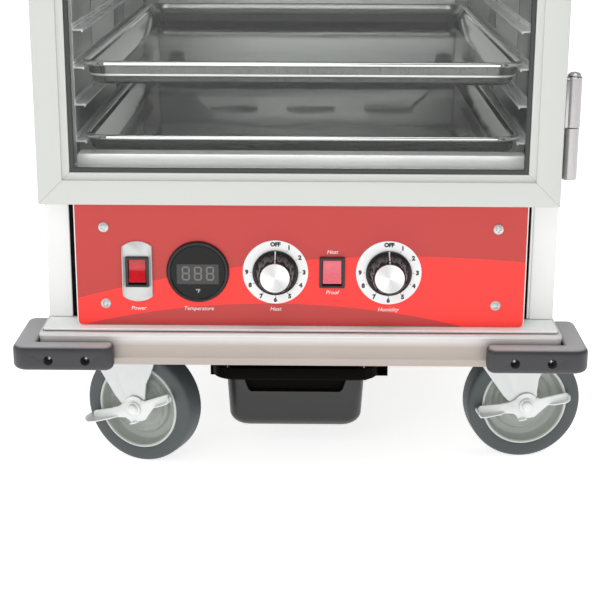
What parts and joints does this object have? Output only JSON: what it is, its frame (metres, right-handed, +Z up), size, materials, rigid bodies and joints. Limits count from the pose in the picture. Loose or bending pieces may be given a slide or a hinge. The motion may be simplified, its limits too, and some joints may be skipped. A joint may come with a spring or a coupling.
{
  "type": "proofing cabinet",
  "caption": "Half-size mobile proofing cabinet on swivel casters, with a glazed door, sheet-pan slides, a front control panel, corner bumpers and a drip pan.",
  "frame": {"origin": "on the floor, under the middle of the cabinet's outline", "axes": "+Z up, -Y out of the door side, +X towards the hinges"},
  "size_m": [0.6186, 0.806, 0.826],
  "materials": {
    "satin_aluminium": "satin",
    "door_enamel": "satin",
    "white_coat": "satin powder coat",
    "steel": "brushed",
    "zinc": "zinc plated",
    "red_panel": "satin printed overlay",
    "red_rocker": "translucent gloss",
    "black_plastic": "moulded",
    "white_dial": "printed",
    "charcoal_rubber": "moulded",
    "grey_tyre": "moulded",
    "clear_pane": "clear"
  },
  "bodies": {
    "cabinet": {"base_frame": "satin_aluminium", "side_panel_left": "satin_aluminium", "side_panel_right": "satin_aluminium", "back_panel": "satin_aluminium", "top_panel": "satin_aluminium", "sill_rail": "satin_aluminium", "slide_rack_left": "satin_aluminium", "slide_rack_right": "satin_aluminium", "air_duct": "satin_aluminium", "module_deck": "satin_aluminium", "post_left": "white_coat", "post_right": "white_coat", "header_rail": "white_coat", "hinge_post_leaf_lower": "steel", "hinge_post_leaf_upper": "steel", "switch_guard": "steel", "water_pan": "steel", "air_heater": "steel", "caster_plate_front_left": "zinc", "caster_plate_front_right": "zinc", "caster_plate_rear_left": "zinc", "caster_plate_rear_right": "zinc", "control_panel": "red_panel", "power_switch_body": "black_plastic", "mode_switch_body": "black_plastic", "display_unit": "black_plastic", "drip_pan_holder": "black_plastic", "power_inlet": "black_plastic", "blower_motor": "black_plastic", "heat_dial_plate": "white_dial", "humidity_dial_plate": "white_dial", "bumper_front_left": "charcoal_rubber", "bumper_front_right": "charcoal_rubber", "bumper_rear_left": "charcoal_rubber", "bumper_rear_right": "charcoal_rubber"},
    "door": {"door_frame": "door_enamel", "door_pane": "clear_pane", "pane_gasket": "charcoal_rubber", "door_seal": "charcoal_rubber", "door_handle": "steel", "hinge_door_leaf_lower": "steel", "hinge_door_leaf_upper": "steel"},
    "power_rocker": {"power_rocker": "red_rocker"},
    "mode_rocker": {"mode_rocker": "red_rocker"},
    "heat_knob": {"heat_knob": "black_plastic"},
    "humidity_knob": {"humidity_knob": "black_plastic"},
    "blower_wheel": {"blower_wheel": "satin_aluminium"},
    "drip_pan": {"drip_pan": "black_plastic"},
    "sheet_pan_upper": {"sheet_pan_upper": "satin_aluminium"},
    "sheet_pan_lower": {"sheet_pan_lower": "satin_aluminium"},
    "caster_swivel_front_left": {"caster_fork_front_left": "zinc"},
    "caster_wheel_front_left": {"caster_wheel_front_left": "grey_tyre"},
    "brake_lever_front_left": {"brake_lever_front_left": "zinc"},
    "caster_swivel_front_right": {"caster_fork_front_right": "zinc"},
    "caster_wheel_front_right": {"caster_wheel_front_right": "grey_tyre"},
    "brake_lever_front_right": {"brake_lever_front_right": "zinc"},
    "caster_swivel_rear_left": {"caster_fork_rear_left": "zinc"},
    "caster_wheel_rear_left": {"caster_wheel_rear_left": "grey_tyre"},
    "caster_swivel_rear_right": {"caster_fork_rear_right": "zinc"},
    "caster_wheel_rear_right": {"caster_wheel_rear_right": "grey_tyre"}
  },
  "joints": [
    {"name": "door_swing", "type": "hinge", "parent": "cabinet", "child": "door", "pos_m": [0.2695, -0.355, 0.562], "axis": [0, 0, 1], "range_deg": [0, 180]},
    {"name": "power_rocker_tip", "type": "hinge", "parent": "cabinet", "child": "power_rocker", "pos_m": [-0.1672, -0.3545, 0.232], "axis": [1, 0, 0], "range_deg": [0, 16]},
    {"name": "mode_rocker_tip", "type": "hinge", "parent": "cabinet", "child": "mode_rocker", "pos_m": [0.0324, -0.3545, 0.232], "axis": [1, 0, 0], "range_deg": [0, 16]},
    {"name": "heat_knob_turn", "type": "hinge", "parent": "cabinet", "child": "heat_knob", "pos_m": [-0.0257, -0.3585, 0.232], "axis": [0, 1, 0], "range_deg": [0, 270]},
    {"name": "humidity_knob_turn", "type": "hinge", "parent": "cabinet", "child": "humidity_knob", "pos_m": [0.0903, -0.3585, 0.232], "axis": [0, 1, 0], "range_deg": [0, 270]},
    {"name": "blower_spin", "type": "hinge", "parent": "cabinet", "child": "blower_wheel", "pos_m": [-0.01, 0.25, 0.245], "axis": [1, 0, 0], "continuous": true},
    {"name": "drip_pan_slide", "type": "slide", "parent": "cabinet", "child": "drip_pan", "axis": [0, -1, 0], "range_m": [0, 0.1]},
    {"name": "sheet_pan_upper_slide", "type": "slide", "parent": "cabinet", "child": "sheet_pan_upper", "axis": [0, -1, 0], "range_m": [0, 0.028]},
    {"name": "sheet_pan_lower_slide", "type": "slide", "parent": "cabinet", "child": "sheet_pan_lower", "axis": [0, -1, 0], "range_m": [0, 0.009]},
    {"name": "swivel_front_left", "type": "hinge", "parent": "cabinet", "child": "caster_swivel_front_left", "pos_m": [-0.207, -0.274, 0.134], "axis": [0, 0, 1], "continuous": true},
    {"name": "wheel_spin_front_left", "type": "hinge", "parent": "caster_swivel_front_left", "child": "caster_wheel_front_left", "pos_m": [-0.17202, -0.28885, 0.0635], "axis": [0.3907, 0.9205, 0], "continuous": true},
    {"name": "brake_rock_front_left", "type": "hinge", "parent": "caster_swivel_front_left", "child": "brake_lever_front_left", "pos_m": [-0.17202, -0.28885, 0.0635], "axis": [0.3907, 0.9205, 0], "range_deg": [0, 27]},
    {"name": "swivel_front_right", "type": "hinge", "parent": "cabinet", "child": "caster_swivel_front_right", "pos_m": [0.207, -0.274, 0.134], "axis": [0, 0, 1], "continuous": true},
    {"name": "wheel_spin_front_right", "type": "hinge", "parent": "caster_swivel_front_right", "child": "caster_wheel_front_right", "pos_m": [0.24463, -0.26871, 0.0635], "axis": [-0.1392, 0.9903, 0], "continuous": true},
    {"name": "brake_rock_front_right", "type": "hinge", "parent": "caster_swivel_front_right", "child": "brake_lever_front_right", "pos_m": [0.24463, -0.26871, 0.0635], "axis": [-0.1392, 0.9903, 0], "range_deg": [-13, 14]},
    {"name": "swivel_rear_left", "type": "hinge", "parent": "cabinet", "child": "caster_swivel_rear_left", "pos_m": [-0.207, 0.274, 0.134], "axis": [0, 0, 1], "continuous": true},
    {"name": "wheel_spin_rear_left", "type": "hinge", "parent": "caster_swivel_rear_left", "child": "caster_wheel_rear_left", "pos_m": [-0.24463, 0.27929, 0.0635], "axis": [-0.1392, -0.9903, 0], "continuous": true},
    {"name": "swivel_rear_right", "type": "hinge", "parent": "cabinet", "child": "caster_swivel_rear_right", "pos_m": [0.207, 0.274, 0.134], "axis": [0, 0, 1], "continuous": true},
    {"name": "wheel_spin_rear_right", "type": "hinge", "parent": "caster_swivel_rear_right", "child": "caster_wheel_rear_right", "pos_m": [0.17256, 0.25794, 0.0635], "axis": [0.4226, -0.9063, 0], "continuous": true}
  ]
}
